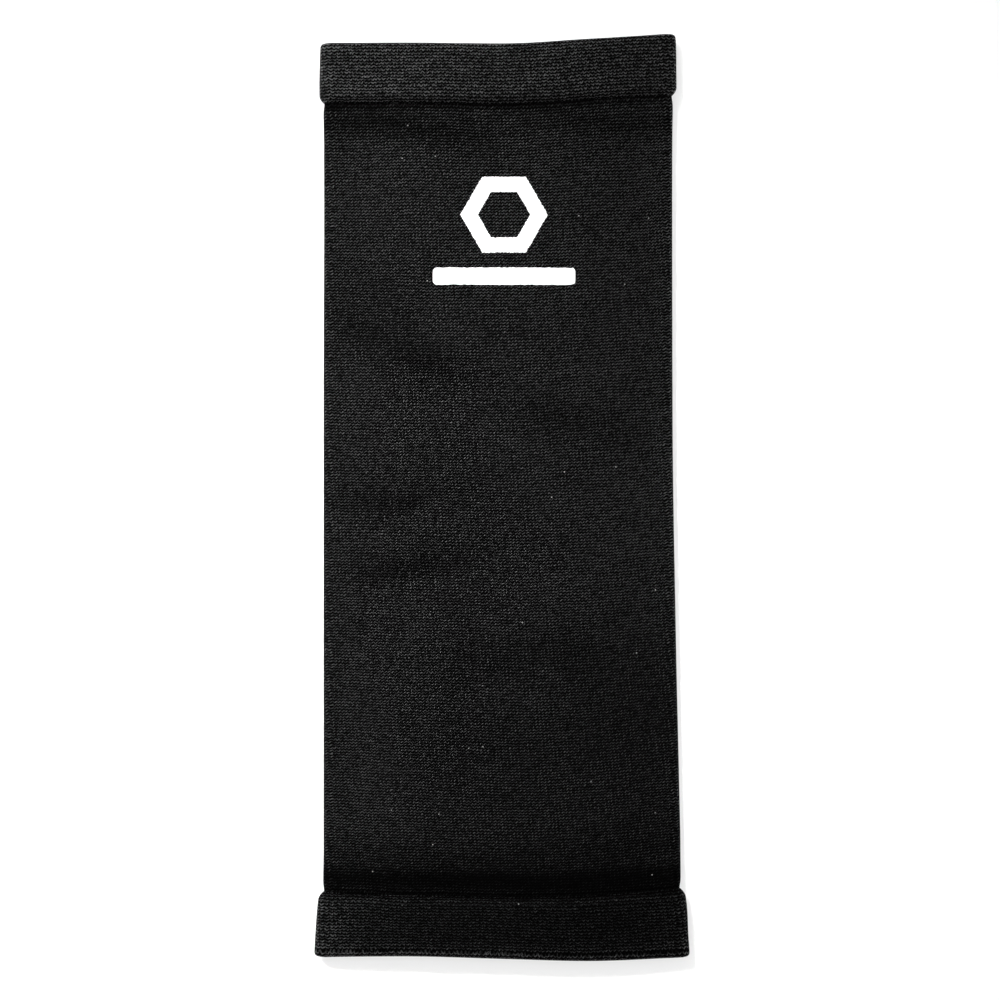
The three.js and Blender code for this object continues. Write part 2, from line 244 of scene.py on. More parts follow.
def cross_lines(x):
    """Where the two mouths and the two seams lie along Y at places from side to side."""
    across = np.clip(x / (WIDTH / 2), -1, 1)
    top_mouth = LENGTH / 2 * smooth_column(CROSS_LINES, "across", "top_mouth", across)
    bottom_mouth = -LENGTH / 2 * smooth_column(CROSS_LINES, "across", "bottom_mouth", across)
    top_depth = TOP_CUFF_DEPTH * smooth_column(CROSS_LINES, "across", "top_depth", across)
    bottom_depth = BOTTOM_CUFF_DEPTH * smooth_column(CROSS_LINES, "across", "bottom_depth", across)
    return dict(
        top_mouth=top_mouth,
        bottom_mouth=bottom_mouth,
        top_seam=top_mouth - top_depth,
        bottom_seam=bottom_mouth + bottom_depth,
    )


def smoothstep(value, low, high):
    t = np.clip((value - low) / (high - low), 0, 1)
    return t * t * (3 - 2 * t)


def crease_painted_shade(ring):
    """How much painted shade the creases and shaded places lay on each point of a ring (below 0 painted
    light), 0 on the floor side.
    """
    off_floor = np.arange(RING_STEPS) < RING_STEPS - FLOOR_STEPS
    x, y = ring[:, 0], ring[:, 1]
    painted_shade = np.clip(crease_depth(x, y) / (DEEPEST_CREASE * LYING_HEIGHT), 0, 1)
    shade = sum(place["depth"] * soft_spot(place, x, y) for place in SHADED_PLACES)
    return (painted_shade + shade) * off_floor


def seam_painted_shade(shades, distance):
    """How dark the painted shade in the bands beside a seam is at a distance from it."""
    def depth(shade):
        aside = (distance - shade["place"]) / shade["width"]
        return shade["depth"] * math.exp(-aside ** 2)
    return max(depth(shade) for shade in shades)


def stretched_courses(distances, course, ends, growth=0.0):
    """Course numbers along a path, where the stitches grow longer towards some places on it."""
    middles = (distances[1:] + distances[:-1]) / 2
    longer = 1 + growth * (middles / distances[-1] - 0.5)
    for end in ends:
        longer = longer + END_STITCH_STRETCH * np.exp(-((middles - end) / END_STITCH_REACH) ** 2)
    return np.r_[0, np.cumsum(np.diff(distances) / (course * longer))]


def soft_spot(place, x, y):
    """A crease's or a shaded place's share at points of the front, 1 in its middle."""
    turn = math.radians(place["turn"])
    dx = x - place["across"] * WIDTH / 2
    dy = y - place["along"] * LENGTH / 2
    onward = (dx * math.cos(turn) + dy * math.sin(turn)) / (place["reach"] * WIDTH)
    aside = (dy * math.cos(turn) - dx * math.sin(turn)) / (place["spread"] * WIDTH)
    return np.exp(-onward ** 4 - aside ** 2)


def crease_depth(x, y):
    """How far the creases sink the front. They fade out at the sides and the cuffs."""
    nearest = LENGTH / 2 - max(TOP_CUFF_DEPTH, BOTTOM_CUFF_DEPTH) - np.abs(y)
    end_fade = smoothstep(nearest, 0, CREASE_FADE_SHARE * WIDTH)
    side_fade = np.maximum(1 - (x / (WIDTH / 2)) ** 4, 0)
    depth = sum(crease["depth"] * LYING_HEIGHT * soft_spot(crease, x, y) for crease in CREASES)
    return depth * end_fade * side_fade


def dome_share(share):
    """The front's rise over the side folds, from 0 at a fold to 1 over the middle."""
    return (1 - share ** 4) ** 2


def front_height(x, y):
    """How high the front of the tube lies at places on it."""
    lines = cross_lines(x)
    at = (y - lines["bottom_seam"]) / (lines["top_seam"] - lines["bottom_seam"])
    section = section_at(TUBE_SECTIONS, at)
    fold, lift = section["fold"], section["lift"]
    flat_left, flat_right = fold - section["left"], section["right"] - fold
    share = 2 * (x - flat_left) / (flat_right - flat_left) - 1
    rise = (section["top"] - lift - 2 * fold) * dome_share(share)
    return lift + 2 * fold + rise - crease_depth(x, y)


# Steps of a fine ring round the leg: the left fold going up, the front, the right fold going
# down and the floor going back
SIDE_STEPS = 14
FRONT_STEPS = 84
FLOOR_STEPS = 40
RING_STEPS = 2 * SIDE_STEPS + FRONT_STEPS + FLOOR_STEPS

# Rings along the tube, how much closer together they lie at its ends, and rows round a cuff
TUBE_STEPS = 150
TUBE_END_CROWDING = 0.6
SHOULDER_STEPS = 13
BAND_STEPS = 15
LIP_STEPS = 18
HIDDEN_STEPS = 4
SHOULDER_POWER = 0.8
LINING_DIP = 0.35 * MM

# Strips of the bake map: across it, and up it for the outer and the inner faces. A cuff has
# two strips for each face, the second one higher up by a step.
MAP_STRIP = (0.005, 0.995)
TUBE_OUTER_STRIP = (0.275, 0.995)
TUBE_INNER_STRIP = (0.005, 0.26)
CUFF_OUTER_STRIP = (0.155, 0.575)
CUFF_OUTER_STEP = 0.425
CUFF_INNER_STRIP = (0.005, 0.075)
CUFF_INNER_STEP = 0.075


def ring_points(section, offset, lengthwise):
    """One ring round the leg at a section, out from the knit's outer face by an offset."""
    fold, lift = section["fold"], section["lift"]
    flat_left, flat_right = fold - section["left"], section["right"] - fold
    radius = fold + offset
    up = np.pi * (1.5 - np.arange(SIDE_STEPS) / SIDE_STEPS)
    down = np.pi * (0.5 - np.arange(SIDE_STEPS) / SIDE_STEPS)
    share = -1 + 2 * np.arange(FRONT_STEPS) / FRONT_STEPS
    back = np.arange(FLOOR_STEPS) / FLOOR_STEPS
    front_x = flat_left + (flat_right - flat_left) * (1 + share) / 2
    rise = (section["top"] - lift - 2 * fold) * dome_share(share)
    front_z = lift + 2 * fold + rise + offset - crease_depth(front_x, lengthwise(front_x))
    x = np.r_[
        flat_left + radius * np.cos(up),
        front_x,
        flat_right + radius * np.cos(down),
        flat_right + (flat_left - flat_right) * back,
    ]
    z = np.r_[
        lift + fold + radius * np.sin(up),
        front_z,
        lift + fold + radius * np.sin(down),
        np.full(FLOOR_STEPS, lift - offset),
    ]
    return np.c_[x, lengthwise(x), z]


def tube_ring(at, offset):
    """A ring on the tube, at a share of the way from the bottom seam to the top one."""
    def lengthwise(x):
        lines = cross_lines(x)
        return lines["bottom_seam"] + (lines["top_seam"] - lines["bottom_seam"]) * at
    return ring_points(section_at(TUBE_SECTIONS, at), offset, lengthwise)


CUFFS = {
    "top_cuff": dict(
        sections=TOP_CUFF_SECTIONS, seam="top_seam", mouth="top_mouth",
        depth=TOP_CUFF_DEPTH, wales=TOP_CUFF_WALES, course=TOP_CUFF_COURSE,
        shade=TOP_CUFF_SHADE, seam_shade=TOP_CUFF_SEAM_SHADE, opens_up=True,
    ),
    "bottom_cuff": dict(
        sections=BOTTOM_CUFF_SECTIONS, seam="bottom_seam", mouth="bottom_mouth",
        depth=BOTTOM_CUFF_DEPTH, wales=BOTTOM_CUFF_WALES, course=BOTTOM_CUFF_COURSE,
        shade=BOTTOM_CUFF_SHADE, seam_shade=BOTTOM_CUFF_SEAM_SHADE, opens_up=False,
    ),
}


def cuff_ring(cuff, depth, offset):
    """A ring on a cuff, at a depth past its seam towards its mouth."""
    def lengthwise(x):
        lines = cross_lines(x)
        return lines[cuff["seam"]] + (lines[cuff["mouth"]] - lines[cuff["seam"]]) * depth / cuff["depth"]
    return ring_points(section_at(cuff["sections"], depth / cuff["depth"]), offset, lengthwise)


# Pieces from rings

def on_strip(share, strip):
    """The place on the bake map at a share of the way along a strip."""
    low, high = strip
    return low + (high - low) * share


def wall_from_rings(name, rings, painted_shades, wales, courses, tiles, materials, slots):
    """A closed wall through rings, back to the first one.

    painted_shades gives the painted shade at each ring's points, from creases, seam bands and shaded
    places, and below 0 painted light.
    courses has one row more than rings. Each face takes the stitch numbers of its corners as its knit map,
    and tiles gives it its own part of the bake map.
    """
    count, steps = len(rings), RING_STEPS
    points = np.concatenate(rings)
    j, i = np.meshgrid(np.arange(count), np.arange(steps), indexing="ij")
    j, i = j.ravel(), i.ravel()
    next_j, next_i = (j + 1) % count, (i + 1) % steps
    faces = np.c_[j * steps + i, j * steps + next_i, next_j * steps + next_i, next_j * steps + i]

    mesh = bpy.data.meshes.new(name)
    mesh.from_pydata(points.tolist(), [], faces.tolist())

    ring = rings[count // 2]
    lengths = np.linalg.norm(np.diff(np.r_[ring, ring[:1]], axis=0), axis=1)
    around = np.r_[0, np.cumsum(lengths)] / lengths.sum()
    corner_i = np.c_[i, i + 1, i + 1, i]
    corner_j = np.c_[j, j, j + 1, j + 1]
    course = np.array(courses)[corner_j]
    knit = np.stack([around[corner_i] * wales + LEAN * course, course], axis=2)
    bake = tiles(corner_i / steps, corner_j, j)
    for map_name, places in (("knit", knit), ("OFBake", bake)):
        layer = mesh.uv_layers.new(name=map_name)
        layer.data.foreach_set("uv", places.reshape(-1).astype(np.float32))
    # Painted shade of creases, seam bands and shaded places at each point, below 0 painted light; the
    # knit's colour reads it
    painted_shade = mesh.attributes.new("painted_shade", "FLOAT", "POINT")
    painted_shade.data.foreach_set("value", np.concatenate(painted_shades).astype(np.float32))
    for material in materials:
        mesh.materials.append(material)
    mesh.polygons.foreach_set("material_index", np.array(slots)[j])
    mesh.polygons.foreach_set("use_smooth", np.ones(len(j), bool))
    mesh.validate()
    piece = bpy.data.objects.new(name, mesh)
    bpy.context.collection.objects.link(piece)
    return piece


tube_lengthwise = cross_lines(np.zeros(1))
TUBE_LENGTH = float((tube_lengthwise["top_seam"] - tube_lengthwise["bottom_seam"])[0])


def leg_tube(materials):
    """The tube of plain knit, dipping into a groove at each seam and tucked under the cuffs."""
    turn = 2 * np.pi * np.arange(TUBE_STEPS + 1) / TUBE_STEPS
    places = (turn - TUBE_END_CROWDING * np.sin(turn)) / (2 * np.pi)
    dips = [SEAM_DIP * math.exp(-(min(at, 1 - at) * TUBE_LENGTH / SEAM_DIP_LENGTH) ** 2) for at in places]
    tucks = [TUCK_DEPTH, TUCK_DEPTH / 2]

    def face(offset):
        rings = [cuff_ring(CUFFS["bottom_cuff"], tuck, offset - SEAM_DIP) for tuck in tucks]
        rings += [tube_ring(at, offset - dip) for at, dip in zip(places, dips)]
        rings += [cuff_ring(CUFFS["top_cuff"], tuck, offset - SEAM_DIP) for tuck in tucks[::-1]]
        return rings

    outer, inner = face(0), face(-KNIT_WALL)
    y = np.r_[-np.array(tucks), places * TUBE_LENGTH, TUBE_LENGTH + np.array(tucks[::-1])]
    outer_courses = stretched_courses(y, TUBE_COURSE, (0, TUBE_LENGTH), COURSE_GROWTH)
    # Painted shade in bands beside the seams, added to the painted shade of creases and shaded places and
    # capped; none on the inner face
    seam_band_shades = [max(seam_painted_shade(BOTTOM_SHADES, v), seam_painted_shade(TOP_SHADES, TUBE_LENGTH - v)) for v in y]
    painted_shades = [np.minimum(crease_painted_shade(ring) + seam_band_shade, DARKEST_PAINTED_SHADE) for ring, seam_band_shade in zip(outer, seam_band_shades)]
    painted_shades += [np.zeros(RING_STEPS)] * len(inner)
    rings = outer + inner[::-1]
    courses = np.r_[outer_courses, outer_courses[::-1], outer_courses[0]]
    half = len(outer)

    def tiles(round_share, row, band):
        """The outer face fills the upper part of the bake map, and the inner face the rest."""
        outside = (band < half)[:, None]
        step = np.where(outside, row / half, (row - half) / half)
        u = on_strip(step, MAP_STRIP)
        outer_v = on_strip(round_share, TUBE_OUTER_STRIP)
        inner_v = on_strip(round_share, TUBE_INNER_STRIP)
        return np.stack([u, np.where(outside, outer_v, inner_v)], axis=2)

    slots = [0] * half + [1] * (half - 1) + [0]
    return wall_from_rings("knit_tube", rings, painted_shades, TUBE_WALES, courses, tiles, materials, slots)


def cuff_profile(depth):
    """Rows of (depth past the seam, offset, hidden) round a folded cuff, from the seam outside."""
    outer, inner = CUFF_SWELL, CUFF_SWELL - CUFF_WALL
    edge = TOUCH_GAP - SEAM_DIP
    middle = (outer + inner) / 2
    mouth_radius = CUFF_WALL / 2
    straight_end = depth - mouth_radius
    rows = []
    for t in np.linspace(0, 1, SHOULDER_STEPS + 1):
        swell = math.sin(t * math.pi / 2) ** SHOULDER_POWER
        rows.append((SHOULDER_LENGTH * t, edge + (outer - edge) * swell, False))
    for t in np.linspace(0, 1, BAND_STEPS + 1)[1:]:
        rows.append((SHOULDER_LENGTH + (straight_end - SHOULDER_LENGTH) * t, outer, False))
    for t in np.linspace(0, 1, LIP_STEPS + 1)[1:]:
        out, side = math.sin(math.pi * t), math.cos(math.pi * t)
        lip = mouth_radius * (out ** CUFF_LIP_POWER + abs(side) ** CUFF_LIP_POWER) ** (-1 / CUFF_LIP_POWER)
        rows.append((straight_end + lip * out, middle + lip * side, False))
    lining = -SEAM_DIP - KNIT_WALL - TOUCH_GAP
    for t in np.linspace(0, 1, BAND_STEPS + 1)[1:]:
        offset = inner + (lining - LINING_DIP - inner) * smoothstep(t, 0.4, 0.9)
        rows.append((straight_end * (1 - t), offset, False))
    rows.append((0, lining, True))
    rows.append((TUCK_DEPTH + 2 * TOUCH_GAP, lining, True))
    rows.append((SHOULDER_LENGTH, middle - PLY_GAP / 2, True))
    for t in np.linspace(0, 1, HIDDEN_STEPS + 1)[1:]:
        rows.append((SHOULDER_LENGTH + (straight_end - SHOULDER_LENGTH) * t, middle - PLY_GAP / 2, True))
    for t in np.linspace(0, 1, HIDDEN_STEPS + 1):
        rows.append((straight_end + (SHOULDER_LENGTH - straight_end) * t, middle + PLY_GAP / 2, True))
    rows.append((TUCK_DEPTH + 2 * TOUCH_GAP, edge, True))
    return rows


def folded_cuff(name, materials):
    """A doubled cuff: a band of knit turned over at the mouth, with both edges at the seam."""
    cuff = CUFFS[name]
    rows = cuff_profile(cuff["depth"])
    rings = [cuff_ring(cuff, depth, offset) for depth, offset, _ in rows]
    path = np.array([(depth, offset) for depth, offset, _ in rows])
    steps = np.linalg.norm(np.diff(np.r_[path, path[:1]], axis=0), axis=1)
    distances = np.r_[0, np.cumsum(steps)]
    mouth = float(distances[np.argmax(path[:, 0])])
    courses = stretched_courses(distances, cuff["course"], (mouth,))
    # Painted shade and light on the cuff: painted shade in its middle and at the seam, a painted highlight
    # at the lip, less shade at the ends and more towards the right
    painted_shades = []
    for ring, (past_seam, _, _) in zip(rings, rows):
        at = past_seam / cuff["depth"]
        across = np.clip(ring[:, 0] / (WIDTH / 2), -1, 1)
        middle_share = math.exp(-((at - 0.42) / 0.58) ** 4)
        seam_share = cuff["seam_shade"] * math.exp(-((past_seam / SHOULDER_LENGTH) ** 2))
        lip_highlight = LIP_PAINTED_HIGHLIGHT * smoothstep(at, 0.84, 0.92) * (LIP_HIGHLIGHT_MIDDLE - LIP_HIGHLIGHT_TILT * across)
        lip_highlight = lip_highlight * (1 - smoothstep(at, 0.96, 0.995))
        left_share = LEFT_END_PAINTED_LIGHT * np.maximum(-across, 0) ** 6
        right_share = RIGHT_END_PAINTED_LIGHT * np.maximum(across, 0) ** 4
        shade = cuff["shade"] * middle_share * (1 - left_share - right_share)
        painted_shades.append(np.maximum(shade, seam_share) - lip_highlight + CUFF_SHADE_TILT * across)
    hidden = [is_hidden for _, _, is_hidden in rows]
    seen = hidden.index(True)
    count = len(rows)

    def tiles(round_share, row, band):
        """The seen face fills most of the bake map as two strips, one for each half round."""
        outside = (band < seen)[:, None]
        step = np.where(outside, row / seen, (row - seen) / (count - seen))
        second = np.where(round_share.mean(axis=1) > 0.5, 1, 0)[:, None]
        u = on_strip(np.clip(2 * round_share - second, 0, 1), MAP_STRIP)
        outer_v = on_strip(step, CUFF_OUTER_STRIP) + CUFF_OUTER_STEP * second
        inner_v = on_strip(step, CUFF_INNER_STRIP) + CUFF_INNER_STEP * second
        return np.stack([u, np.where(outside, outer_v, inner_v)], axis=2)

    if not cuff["opens_up"]:
        rings = rings[::-1]
        painted_shades = painted_shades[::-1]
        courses = -courses[::-1]
        hidden = hidden[::-1]
        tiles_up = tiles

        def tiles(round_share, row, band):
            return tiles_up(round_share, count - row, count - 1 - band)

    slots = [0] * count
    return wall_from_rings(name + "_knit", rings, painted_shades, cuff["wales"], courses, tiles, materials, slots)


def print_piece(name, x, y, is_ring, material):
    """A thin film on the front, over rows of places that run round it or from end to end."""
    rows, columns = x.shape
    wobble = np.random.default_rng(WOBBLE_SEED).normal(0, FILM_EDGE_WOBBLE, (2, columns))
    wobble = (wobble + np.roll(wobble, 1, axis=1)) / WOBBLE_SMOOTHING
    aside = np.linspace(-1, 1, rows)[:, None] ** FILM_EDGE_POWER
    edge = np.where(aside > 0, wobble[0], wobble[1]) * np.abs(aside)
    across = np.stack([x[-1] - x[0], y[-1] - y[0]])
    across = across / np.linalg.norm(across, axis=0)
    x, y = x + edge * across[0], y + edge * across[1]
    z = front_height(x, y) + FILM_LIFT
    top = np.stack([x, y, z + FILM], axis=2)
    under = np.stack([x, y, z], axis=2)
    sheet = np.concatenate([top, under[::-1]])
    count = len(sheet)
    last = columns if is_ring else columns - 1
    j, i = np.meshgrid(np.arange(count), np.arange(last), indexing="ij")
    j, i = j.ravel(), i.ravel()
    next_j, next_i = (j + 1) % count, (i + 1) % columns
    row_start, next_start = j * columns, next_j * columns
    faces = np.c_[row_start + i, next_start + i, next_start + next_i, row_start + next_i].tolist()
    if not is_ring:
        for row in range(rows - 1):
            corners = np.array([row, row + 1, count - 2 - row, count - 1 - row]) * columns
            faces.append((corners[::-1]).tolist())
            faces.append((corners + columns - 1).tolist())
    mesh = bpy.data.meshes.new(name)
    mesh.from_pydata(sheet.reshape(-1, 3).tolist(), [], faces)
    corner_points = np.array([mesh.vertices[loop.vertex_index].co[:2] for loop in mesh.loops])
    layer = mesh.uv_layers.new(name="knit")
    layer.data.foreach_set("uv", (corner_points / (WIDTH * 2 / TUBE_WALES, TUBE_COURSE)).reshape(-1))
    mesh.materials.append(material)
    mesh.validate()
    piece = bpy.data.objects.new(name, mesh)
    bpy.context.collection.objects.link(piece)
    bpy.context.view_layer.objects.active = piece
    piece.select_set(True)
    bpy.ops.object.mode_set(mode="EDIT")
    bpy.ops.mesh.select_all(action="SELECT")
    bpy.ops.mesh.normals_make_consistent(inside=False)
    bpy.ops.object.mode_set(mode="OBJECT")
    piece.select_set(False)
    return piece


def hexagon_film(material):
    """The hexagonal ring, flat side up."""
    turn = 2 * np.pi * np.arange(360) / 360
    to_edge = math.cos(math.pi / 6) / np.cos(turn % (math.pi / 3) - math.pi / 6)
    inner_width = HEXAGON_WIDTH - 2 * HEXAGON_STROKE / math.cos(math.pi / 6)
    radius = np.linspace(HEXAGON_WIDTH / 2, inner_width / 2, 9)[:, None] * to_edge
    x = HEXAGON_MIDDLE[0] + radius * np.cos(turn)
    y = HEXAGON_MIDDLE[1] + radius * np.sin(turn)
    return print_piece("print_hexagon_film", x, y, True, material)


def bar_film(material):
    """The bar with rounded corners under the hexagon."""
    half, radius = BAR_LENGTH / 2, BAR_CORNER_RADIUS
    corner = half - radius + radius * np.sin(np.linspace(0, math.pi / 2, 9))
    along = np.r_[-corner[::-1], np.linspace(radius - half, half - radius, 91)[1:-1], corner]
    past = np.maximum(np.abs(along) - half + radius, 0)
    reach = BAR_WIDTH / 2 - radius + np.sqrt(np.maximum(radius ** 2 - past ** 2, 0))
    x = BAR_MIDDLE[0] + along + np.zeros((7, 1))
    y = BAR_MIDDLE[1] + np.linspace(1, -1, 7)[:, None] * reach
    return print_piece("print_bar_film", x, y, False, material)


# Materials

# Scales of the noise that sets the stitches uneven, in waves to a metre or so, and how many
# courses the slowest one moves them by
SWAY_SCALE = 700.0
DRIFT_SCALE = 900.0
WAVES_SCALE = 45.0
WAVES_REACH = 1.2

# The look of the yarn: its fibres and clouds, how much a leg rises to its middle, the tone
# round which the softer legs lie, and how dark the painted shade between the stitches is
FIBRE_SCALE = 3600.0
CLOUD_SCALE = 30.0
LEG_CROWN = 0.1
MIDDLE_TONE = 0.83
GAP_SHADE_SHARE = 0.06
BRIGHTNESS = 1.3
KNIT_RELIEF = 0.2 * MM
FILM_RELIEF = 0.05 * MM
# A black surface without reflection for the gaps between the stitches: painted shade
SHADED_GAP_SURFACE = {"Base Color": (0.001, 0.001, 0.001, 1), "Specular IOR Level": 0.0, "Roughness": 1.0}

# Specks of pale fluff: cells to a metre, the share of the cells that have one, its radius as a
# share of a cell, and its colour
LINT_SCALE = 110.0
LINT_SHARE = 0.18
LINT_RADIUS = 0.019
LINT_COLOUR = (0.45, 0.45, 0.44, 1)


class Socket:
    """A shader socket that can be used in arithmetic."""

    def __init__(self, shader, socket):
        self.shader, self.socket = shader, socket

    def _maths(self, operation, *values):
        return self.shader.node("ShaderNodeMath", {"operation": operation}, values)

    def __add__(self, other):
        return self._maths("ADD", self, other)

    def __sub__(self, other):
        return self._maths("SUBTRACT", self, other)

    def __rsub__(self, other):
        return self._maths("SUBTRACT", other, self)

    def __mul__(self, other):
        return self._maths("MULTIPLY", self, other)

    def __truediv__(self, other):
        return self._maths("DIVIDE", self, other)

    def __pow__(self, other):
        return self._maths("POWER", self, other)

    def __rtruediv__(self, other):
        return self._maths("DIVIDE", other, self)

    def __rpow__(self, other):
        return self._maths("POWER", other, self)

    __radd__, __rmul__ = __add__, __mul__

    def of(self, operation, *others):
        """The result of any other Math operation, such as SINE, on this value."""
        return self._maths(operation, self, *others)


class Shader:
    """A material's nodes, from one method that adds any of them."""

    def __init__(self, name, constants):
        self.material = bpy.data.materials.new(name)
        self.material.use_nodes = True
        self.tree = self.material.node_tree
        self.surface = self.tree.nodes["Principled BSDF"]
        for key, value in constants.items():
            self.surface.inputs[key].default_value = value

    def node(self, kind, settings=None, inputs=(), output=0):
        """Adds a node of a kind, sets it up, fills its sockets and gives its output."""
        made = self.tree.nodes.new(kind)
        for key, value in (settings or {}).items():
            setattr(made, key, value)
        pairs = inputs.items() if isinstance(inputs, dict) else enumerate(inputs)
        for key, value in pairs:
            if isinstance(value, Socket):
                self.tree.links.new(value.socket, made.inputs[key])
            else:
                made.inputs[key].default_value = value
        return Socket(self, made.outputs[output])

    def feed(self, name, value):
        """Links a value to a socket of the surface."""
        self.tree.links.new(value.socket, self.surface.inputs[name])

    def noise(self, place, scale, detail):
        """Soft noise from 0 to 1."""
        values = {"Vector": place, "Scale": scale, "Detail": detail}
        return self.node("ShaderNodeTexNoise", {}, values, output="Fac")

    def raise_by(self, height, strength, distance):
        """Gives the surface a low relief from a height."""
        values = {"Strength": strength, "Distance": distance, "Height": height}
        self.feed("Normal", self.node("ShaderNodeBump", {}, values, output="Normal"))

    def under(self, share, constants):
        """Mixes another surface in under the first, which shows by a share."""
        output = self.tree.nodes["Material Output"]
        lower = self.node("ShaderNodeBsdfPrincipled", {}, constants)
        upper = Socket(self, self.surface.outputs[0])
        mixed = self.node("ShaderNodeMixShader", {}, (share, lower, upper))
        self.tree.links.new(mixed.socket, output.inputs["Surface"])


def mix_colour(shader, factor, low, high):
    """A colour between two others."""
    return shader.node(
        "ShaderNodeMix", {"data_type": "RGBA"}, {"Factor": factor, "A": low, "B": high}, output="Result",
    )


def knit_stitches(shader, leg_rise, unevenness, column_gap):
    """Plain knit over the knit map, as a V of two round legs in each stitch.

    Gives the height of a leg, 1 on the legs that rise to the right and 0 on the others, and a
    number for each leg.
    """
    separate = shader.tree.nodes.new("ShaderNodeSeparateXYZ")
    knit_map = shader.tree.nodes.new("ShaderNodeUVMap")
    knit_map.uv_map = "knit"
    shader.tree.links.new(knit_map.outputs[0], separate.inputs[0])
    place = shader.node("ShaderNodeTexCoord", output="Object")
    sway = shader.noise(place, SWAY_SCALE, 1.0)
    drift = shader.noise(place, DRIFT_SCALE, 1.0)
    waves = shader.noise(place, WAVES_SCALE, 1.0)
    course = Socket(shader, separate.outputs[1]) + (sway - 0.5) * unevenness + (waves - 0.5) * WAVES_REACH
    wale = Socket(shader, separate.outputs[0]) + (drift - 0.5) * unevenness

    in_wale = wale.of("FRACT") - 0.5
    from_middle = in_wale.of("ABSOLUTE") * 2
    row = course - from_middle * leg_rise
    across_leg = (row.of("FRACT") * math.pi).of("SINE")
    along_leg = (from_middle * math.pi).of("SINE")
    rounded = along_leg * LEG_CROWN + (1 - LEG_CROWN)
    height = across_leg * rounded * (1 - from_middle ** 2.0 * column_gap)
    rising = in_wale.of("GREATER_THAN", 0.0)
    cell = shader.node("ShaderNodeCombineXYZ", {}, ((wale * 2).of("FLOOR"), row.of("FLOOR"), 0.0))
    settings = {"noise_dimensions": "2D"}
    each = shader.node("ShaderNodeTexWhiteNoise", settings, {"Vector": cell}, output="Value")
    return height, rising, each, place


def lint_specks(shader, place):
    """1 on a few specks of pale fluff caught on the knit, and 0 elsewhere."""
    settings = {"voronoi_dimensions": "2D"}
    spots = shader.node("ShaderNodeTexVoronoi", settings, {"Vector": place, "Scale": LINT_SCALE})
    cells = Socket(shader, spots.socket.node.outputs["Color"]).of("GREATER_THAN", 1 - LINT_SHARE)
    return cells * spots.of("LESS_THAN", LINT_RADIUS)


def knit_cloth(name, colour, leg_rise, unevenness, column_gap, softer_legs, sharpness):
    """Black plain knit: smooth yarn with painted shade between its stitches, and a little uneven tension.

    The legs that rise to the right stand out more than the others. Painted shade darkens the stitches in
    creases, beside the seams and at shaded places, and painted light brightens the cuffs' lips and ends.
    """
    shader = Shader(name, {"Specular IOR Level": 0.5, "Sheen Weight": 0.2, "Sheen Roughness": 0.4})
    height, rising, each, place = knit_stitches(shader, leg_rise, unevenness, column_gap)
    fibre = shader.noise(place, FIBRE_SCALE, 2.0)
    cloudy = shader.noise(place, CLOUD_SCALE, 3.0)
    painted_shade = shader.node("ShaderNodeAttribute", {"attribute_name": "painted_shade"}, output="Fac")
    tone = (height - MIDDLE_TONE) * (rising * (1 - softer_legs) + softer_legs) + MIDDLE_TONE
    # The yarn's random tone, times the painted shade of creases, seams and shaded places stored on the
    # points
    yarn_tone_and_painted_shade = (each * 1.0 + 0.5) * (cloudy * 0.3 + 0.85) * (fibre * 1.4 + 0.3) * (1 - painted_shade * 0.5)
    bright = (tone ** 3.0 * yarn_tone_and_painted_shade * BRIGHTNESS).of("MINIMUM", 1.0)
    gap_shade = [GAP_SHADE_SHARE * value for value in colour]
    fluff = lint_specks(shader, place)
    yarn = mix_colour(shader, bright, (*gap_shade, 1), (*colour, 1))
    shader.feed("Base Color", mix_colour(shader, fluff, yarn, LINT_COLOUR))
    shader.feed("Roughness", each * -0.2 + 0.6)
    shader.raise_by(height + fibre * 0.3 + each * 0.15, 1.0, KNIT_RELIEF)
    # Where the tone is low, between the stitches and in painted shade, a black surface without reflection
    # shows instead of the yarn: painted shade
    share = (tone ** sharpness * yarn_tone_and_painted_shade * BRIGHTNESS + fluff).of("MINIMUM", 1.0)
    shader.under(share, SHADED_GAP_SURFACE)
    return shader.material


def print_film():
    """White heat-pressed film, with the stitches under it showing as a low relief."""
    shader = Shader("white print", {"Base Color": (0.86, 0.86, 0.85, 1), "Roughness": 0.5})
    height, _, _, _ = knit_stitches(shader, leg_rise=0.55, unevenness=0.5, column_gap=0.0)
    shader.raise_by(height, 0.3, FILM_RELIEF)
    return shader.material


tube_knit = knit_cloth(
    "tube knit", colour=(0.067, 0.067, 0.0678), leg_rise=0.56, unevenness=0.7, column_gap=0.0,
    softer_legs=0.34, sharpness=10.5,
)
inside_knit = knit_cloth(
    "tube knit inside", colour=(0.04, 0.04, 0.0405), leg_rise=0.1, unevenness=0.5, column_gap=0.2,
    softer_legs=0.8, sharpness=6.0,
)
cuff_knit = knit_cloth(
    "cuff knit", colour=(0.085, 0.085, 0.086), leg_rise=0.5, unevenness=0.9, column_gap=0.2,
    softer_legs=0.55, sharpness=6.2,
)
film = print_film()


# The pieces

tube = leg_tube([tube_knit, inside_knit])
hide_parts("leg_tube")
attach(tube, "root")

for cuff_name in CUFFS:
    band = folded_cuff(cuff_name, [cuff_knit])
    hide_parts(cuff_name)
    2 * CUFFS[cuff_name]["depth"]
    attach(band, "root")

prints = [hexagon_film(film), bar_film(film)]
for piece, node_name in zip(prints, ("print_hexagon", "print_bar")):
    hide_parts(node_name)
    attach(piece, "root")


# Studio

FLOOR_SIZE = 14
WORLD_STRENGTH = 0.18


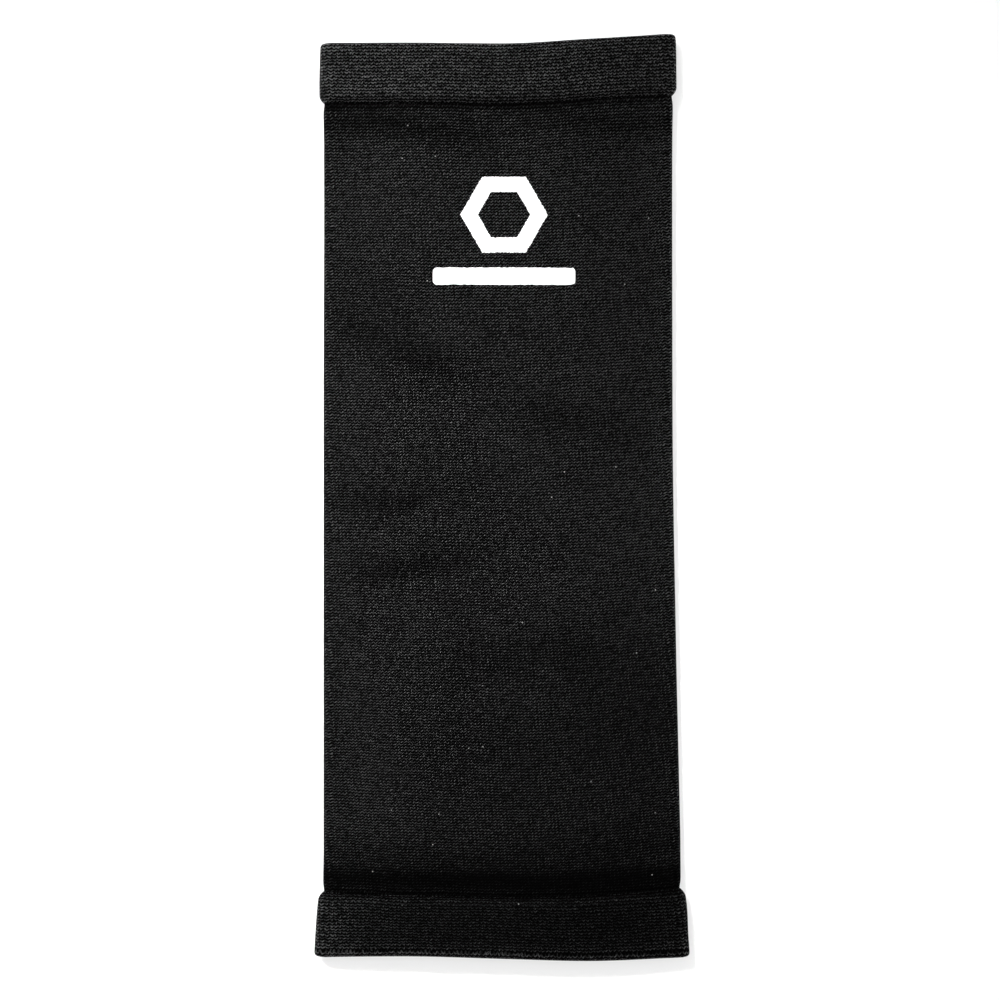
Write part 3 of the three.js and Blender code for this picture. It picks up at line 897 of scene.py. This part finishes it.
def soft_light(name, place, size, power, aim=(0, 0, 0), spread=180):
    data = bpy.data.lights.new(name, "AREA")
    data.size = size
    data.energy = power
    data.spread = math.radians(spread)
    lamp = bpy.data.objects.new(name, data)
    lamp.location = place
    lamp.rotation_euler = (Vector(aim) - Vector(place)).to_track_quat("-Z", "Y").to_euler()
    bpy.context.collection.objects.link(lamp)
    return lamp


bpy.ops.object.select_all(action="DESELECT")
bpy.ops.mesh.primitive_plane_add(size=FLOOR_SIZE)
floor = bpy.context.object
floor.name = "floor"
floor_shader = Shader("pale floor", {"Base Color": (0.9, 0.9, 0.9, 1), "Roughness": 0.8})
floor.data.materials.append(floor_shader.material)

soft_light("key", place=(-0.4, 0.55, 0.85), size=0.3, power=0.34, aim=(-0.062, 0.0, 0), spread=20)
soft_light("fill", place=(-0.3, 0.4, 1.4), size=1.0, power=2.5)
white_light = soft_light("white light", place=(0, 0, 1.8), size=2.0, power=34)
lit_white = bpy.data.collections.new("lit white")
for white in (floor, *prints):
    lit_white.objects.link(white)
white_light.light_linking.receiver_collection = lit_white
white_light.light_linking.blocker_collection = lit_white
world = bpy.data.worlds.new("studio")
world.use_nodes = True
world.node_tree.nodes["Background"].inputs["Color"].default_value = (1, 1, 1, 1)
world.node_tree.nodes["Background"].inputs["Strength"].default_value = WORLD_STRENGTH
bpy.context.scene.world = world
bpy.context.scene.view_settings.view_transform = "Standard"

# Camera, straight above with the top of the leg upwards
PHOTO_WIDTH = 1000
PHOTO_TALL = 925
PHOTO_MIDDLE = Vector((502, 496.5))
LENS = 100
whole_low, whole_high = cad_box
metres_per_pixel = (whole_high.y - whole_low.y) / PHOTO_TALL
frame_width = metres_per_pixel * PHOTO_WIDTH
camera_data = bpy.data.cameras.new("camera")
camera_data.lens = LENS
camera = bpy.data.objects.new("camera", camera_data)
camera.location = (
    (PHOTO_WIDTH / 2 - PHOTO_MIDDLE.x) * metres_per_pixel,
    (PHOTO_MIDDLE.y - PHOTO_WIDTH / 2) * metres_per_pixel,
    whole_high.z / 2 + frame_width * LENS / camera_data.sensor_width,
)
bpy.context.collection.objects.link(camera)
bpy.context.scene.camera = camera
